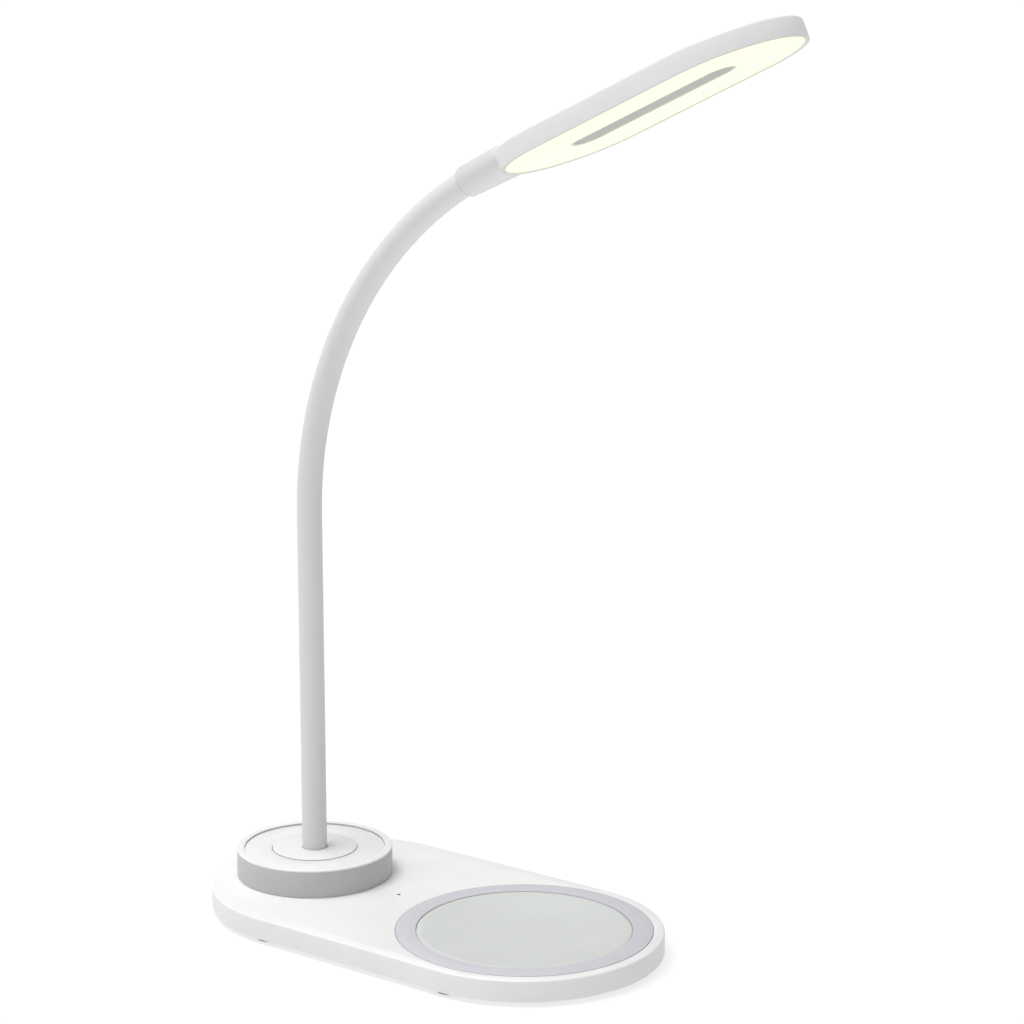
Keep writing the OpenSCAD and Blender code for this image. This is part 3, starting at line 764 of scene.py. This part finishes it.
def nextRing(piece, last, ring):  # draws the collar on from one ring to the next
    lastX, lastWide, lastHigh, lastMiddle = last
    x, wide, high, middle = ring
    pickFaces(piece, lambda centre, normal: normal.x > 0.9)
    pushBy((x - lastX, 0, middle - lastMiddle))
    bpy.ops.transform.resize(value=(1, 1, high / lastHigh))
    edited = bmesh.from_edit_mesh(piece.data)
    for point in edited.verts:  # round sides, moved in or out to the new width
        if point.select:
            outside = math.copysign(1, point.co.y)
            roundPart = (abs(point.co.y) - (lastWide - lastHigh) * mm) * high / lastHigh
            point.co.y = outside * (roundPart + (wide - high) * mm)
    bmesh.update_edit_mesh(piece.data)


neckCollar = addDrum("neckCollar", 0, 0, collar["mouth"], 0, collar["start"], collar["sides"])
neckCollar.rotation_euler = (0, math.pi / 2 - tilt, 0)
neckCollar.location = mouthSpot
settle(neckCollar)
startEdit(neckCollar)
pickFaces(neckCollar, lambda centre, normal: normal.x > 0.9)
bpy.ops.transform.resize(value=(0, 1, 1))  # the mouth leans with the neck, the rings stand across the head
startMiddle = mouthSpot / mm + neckWay * collar["start"]
ring = (startMiddle.x, collar["mouth"], collar["mouth"], startMiddle.z)
for turn in collar["turns"]:
    steps = 1 if turn is collar["turns"][0] else math.ceil((turn[0] - ring[0]) / collar["ringStep"])
    origin = ring
    for step in range(1, steps + 1):
        target = tuple(start + (end - start) * step / steps for start, end in zip(origin, turn))
        nextRing(neckCollar, ring, target)
        ring = target
endEdit()
softenEdges(neckCollar, lambda co: abs((co - mouthSpot).dot(neckWay)) < 0.02 * mm, collar["edge"], 3)
startEdit(neckCollar)
pickFaces(neckCollar, lambda centre, normal: normal.dot(neckWay) < -0.99)
insetBy(collar["mouth"] - collar["edge"] - collar["neckHole"])
pushBy(neckWay * collar["neckDepth"])
insetBy(collar["neckHole"] - collar["coreHole"])
pushBy(neckWay * collar["coreDepth"])
endEdit()
useModifier(neckCollar, "SUBSURF", levels=1, render_levels=1)
carve(neckCollar, addHeadBody("collarFit", collar["seam"]))
tidyMesh(neckCollar)
dress(neckCollar, collarWhite)
# painted shade: a grey band along the mouth's edge stands for the shadow in the seam where the collar meets
# the neck
paintFaces(neckCollar, paintedShadeGrey,
           lambda middle, normal: (middle - mouthSpot).dot(neckWay) < collar["seamShadeBand"] * mm)
seatOnHead(neckCollar)
hand(neckCollar, "head", None, "neck_collar")
print("collar made")


nodeFinishes = {  # of the CAD nodes that stay; the screws and the neck's cores and fittings are turned steel
    "base_cover": coverGrey, "ballast_plate": steelPlate, "charging_board": boardGreen,
    "charging_coil": copperWound, "ferrite_disc": ferriteBlack, "jack_board": boardGreen,
    "power_jack": steelPlate, "touch_board": boardGreen, "light_guide": acrylicClear,
    "reflector_sheet": reflectorWhite, "led_strip": ledChips,
}
for nodeName, node in cadNodes.items():
    if node.hide_render:
        continue
    finish = nodeFinishes.get(nodeName, steelTurned)
    if not node.data.materials:
        node.data.materials.append(finish)
    for index in range(len(node.data.materials)):
        node.data.materials[index] = finish
print("finishes given to the kept nodes")


studio = {
    "floorSize": 60, "floorTone": (0.30, 0.30, 0.30), "floorGlow": 0.68, "floorRough": 0.9,
    "floorShine": 0.05, "floorCloud": 3,
    "keyFrom": (-0.121, -0.190, 0.974), "keyStrength": 2.5, "keySpread": 40,
    "skyBright": (-0.323, -0.248, 0.914), "skyLow": 0.22, "skyHigh": 0.61,
    "hazeGlow": 1.02, "hazeFrom": 0.05, "hazeTo": 0.15,
}
clearSelection()
bpy.ops.mesh.primitive_plane_add(size=studio["floorSize"])
floor = named("floor")
floorPale, floorShader = startFinish("floorPale", studio["floorRough"], Emission_Strength=studio["floorGlow"])
floorShader.inputs["Emission Color"].default_value = (1, 1, 1, 1)
floorShader.inputs["Specular IOR Level"].default_value = studio["floorShine"]
floorCloud = addNoise(floorPale, placeOf(floorPale), studio["floorCloud"], 2)
addRamp(floorPale, floorCloud, [(0.3, tinted(studio["floorTone"], 0.99)), (0.7, studio["floorTone"])],
        floorShader.inputs["Base Color"])
dress(floor, floorPale)

world = bpy.data.worlds.new("softRoom")
bpy.context.scene.world = world
world.use_nodes = True
background = world.node_tree.nodes["Background"]
background.inputs["Color"].default_value = (1, 1, 1, 1)
skyNodes, skyLinks = world.node_tree.nodes, world.node_tree.links
direction = skyNodes.new("ShaderNodeTexCoord")
towards = skyNodes.new("ShaderNodeVectorMath")
towards.operation = "DOT_PRODUCT"
towards.inputs[1].default_value = Vector(studio["skyBright"]).normalized()
glow = skyNodes.new("ShaderNodeMapRange")  # the room is brightest overhead and to the left
glow.inputs["To Min"].default_value = studio["skyLow"]
glow.inputs["To Max"].default_value = studio["skyHigh"]
height = skyNodes.new("ShaderNodeSeparateXYZ")
haze = skyNodes.new("ShaderNodeMapRange")  # and as pale as the floor along the horizon
haze.inputs["From Min"].default_value = studio["hazeFrom"]
haze.inputs["From Max"].default_value = studio["hazeTo"]
haze.inputs["To Min"].default_value = studio["hazeGlow"]
haze.inputs["To Max"].default_value = 0
brighter = skyNodes.new("ShaderNodeMath")
brighter.operation = "MAXIMUM"
skyLinks.new(direction.outputs["Generated"], towards.inputs[0])
skyLinks.new(direction.outputs["Generated"], height.inputs["Vector"])
skyLinks.new(height.outputs["Z"], haze.inputs["Value"])
skyLinks.new(towards.outputs["Value"], glow.inputs["Value"])
skyLinks.new(glow.outputs["Result"], brighter.inputs[0])
skyLinks.new(haze.outputs["Result"], brighter.inputs[1])
skyLinks.new(brighter.outputs["Value"], background.inputs["Strength"])

keyLamp = bpy.data.lights.new("keyLight", "SUN")
keyLamp.energy = studio["keyStrength"]
keyLamp.angle = math.radians(studio["keySpread"])
keyLight = bpy.data.objects.new("keyLight", keyLamp)
keyLight.rotation_mode = "QUATERNION"
keyLight.rotation_quaternion = Vector(studio["keyFrom"]).to_track_quat("Z", "Y")
bpy.context.scene.collection.objects.link(keyLight)
bpy.context.scene.view_settings.view_transform = "Standard"
print("floor and lights set")
